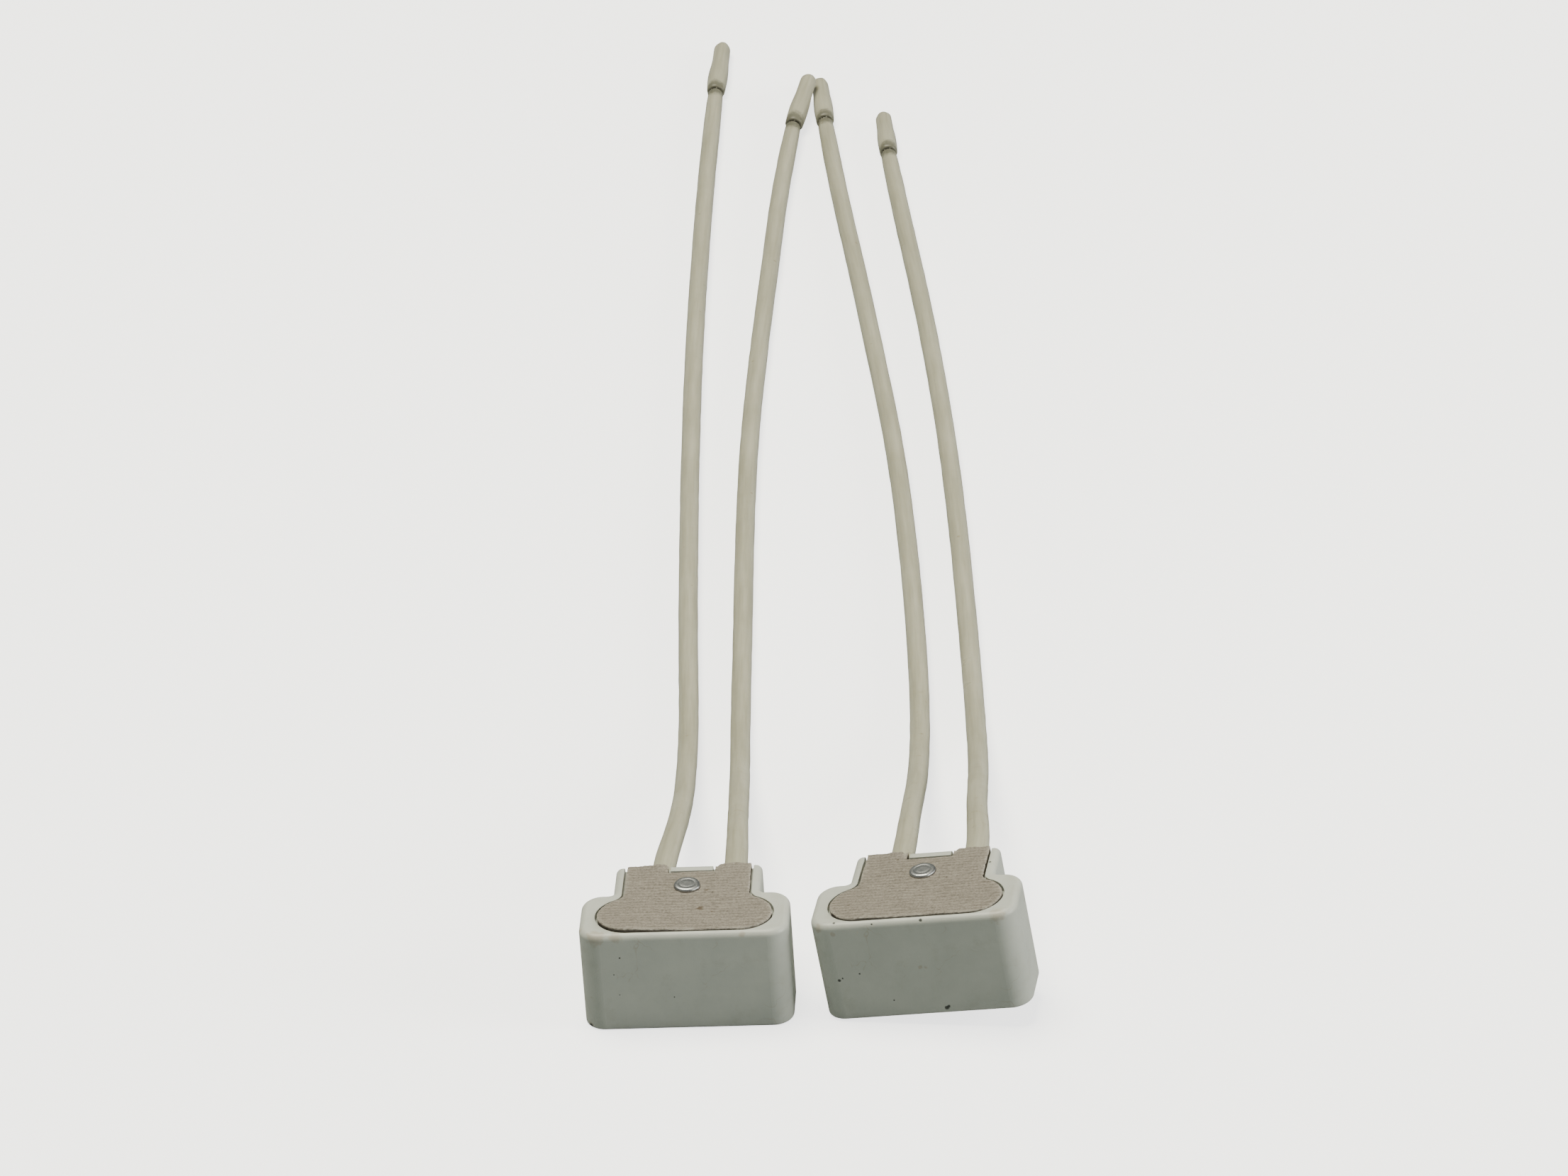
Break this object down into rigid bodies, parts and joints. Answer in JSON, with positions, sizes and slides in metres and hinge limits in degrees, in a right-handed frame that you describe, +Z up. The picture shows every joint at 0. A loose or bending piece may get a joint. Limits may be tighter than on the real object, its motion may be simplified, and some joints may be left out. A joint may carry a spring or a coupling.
{
  "type": "ceramic lampholder pair",
  "caption": "Two-pin twist-lock ceramic lampholders with riveted board covers and flexible leads, lying side by side with half-stripped lead tips.",
  "frame": {"origin": "on the surface the holders stand on, under the middle of the box round both holders without their leads", "axes": "+Z up; +X from the left holder to the right holder; +Y from the front faces towards the lead tips"},
  "size_m": [0.0652, 0.3365, 0.0192],
  "materials": {
    "ceramic": "satin, unglazed steatite",
    "cover_board": "matt, fine ribs",
    "rivet": "satin",
    "terminal_brass": "satin",
    "contact_bronze": "satin",
    "spring_steel": "brushed",
    "contact_silver": "polished",
    "strands": "tinned copper strands",
    "lead_insulation": "satin silicone"
  },
  "bodies": {
    "holders": {"left_ceramic_body": "ceramic", "left_cover_plate": "cover_board", "left_cover_rivet": "rivet", "left_outer_terminal": "terminal_brass", "left_outer_crimped_strands": "strands", "left_outer_lead": "lead_insulation", "left_outer_end_strands": "strands", "left_outer_insulation_slug": "lead_insulation", "left_inner_terminal": "terminal_brass", "left_inner_crimped_strands": "strands", "left_inner_lead": "lead_insulation", "left_inner_end_strands": "strands", "left_inner_insulation_slug": "lead_insulation", "right_ceramic_body": "ceramic", "right_cover_plate": "cover_board", "right_cover_rivet": "rivet", "right_inner_terminal": "terminal_brass", "right_inner_crimped_strands": "strands", "right_inner_lead": "lead_insulation", "right_inner_end_strands": "strands", "right_inner_insulation_slug": "lead_insulation", "right_outer_terminal": "terminal_brass", "right_outer_crimped_strands": "strands", "right_outer_lead": "lead_insulation", "right_outer_end_strands": "strands", "right_outer_insulation_slug": "lead_insulation"},
    "left_outer_contact": {"left_outer_contact_leaf": "contact_bronze", "left_outer_spring_leaf": "spring_steel", "left_outer_contact_stud": "contact_silver"},
    "left_inner_contact": {"left_inner_contact_leaf": "contact_bronze", "left_inner_spring_leaf": "spring_steel", "left_inner_contact_stud": "contact_silver"},
    "right_inner_contact": {"right_inner_contact_leaf": "contact_bronze", "right_inner_spring_leaf": "spring_steel", "right_inner_contact_stud": "contact_silver"},
    "right_outer_contact": {"right_outer_contact_leaf": "contact_bronze", "right_outer_spring_leaf": "spring_steel", "right_outer_contact_stud": "contact_silver"}
  },
  "joints": [
    {"name": "left_outer_contact_hinge", "type": "hinge", "parent": "holders", "child": "left_outer_contact", "pos_m": [-0.02256, 0.00365, 0.0069], "axis": [-1, 0, 0], "range_deg": [0, 8], "stiffness_Nm_per_rad": 0.03, "springref_deg": -2.86},
    {"name": "left_inner_contact_hinge", "type": "hinge", "parent": "holders", "child": "left_inner_contact", "pos_m": [-0.01256, 0.00365, 0.0069], "axis": [-1, 0, 0], "range_deg": [0, 8], "stiffness_Nm_per_rad": 0.03, "springref_deg": -2.86},
    {"name": "right_inner_contact_hinge", "type": "hinge", "parent": "holders", "child": "right_inner_contact", "pos_m": [0.01251, 0.00353, 0.00799], "axis": [-0.9862, 0.1141, -0.1201], "range_deg": [0, 8], "stiffness_Nm_per_rad": 0.03, "springref_deg": -2.86},
    {"name": "right_outer_contact_hinge", "type": "hinge", "parent": "holders", "child": "right_outer_contact", "pos_m": [0.02237, 0.00239, 0.0092], "axis": [-0.9862, 0.1141, -0.1201], "range_deg": [0, 8], "stiffness_Nm_per_rad": 0.03, "springref_deg": -2.86}
  ]
}
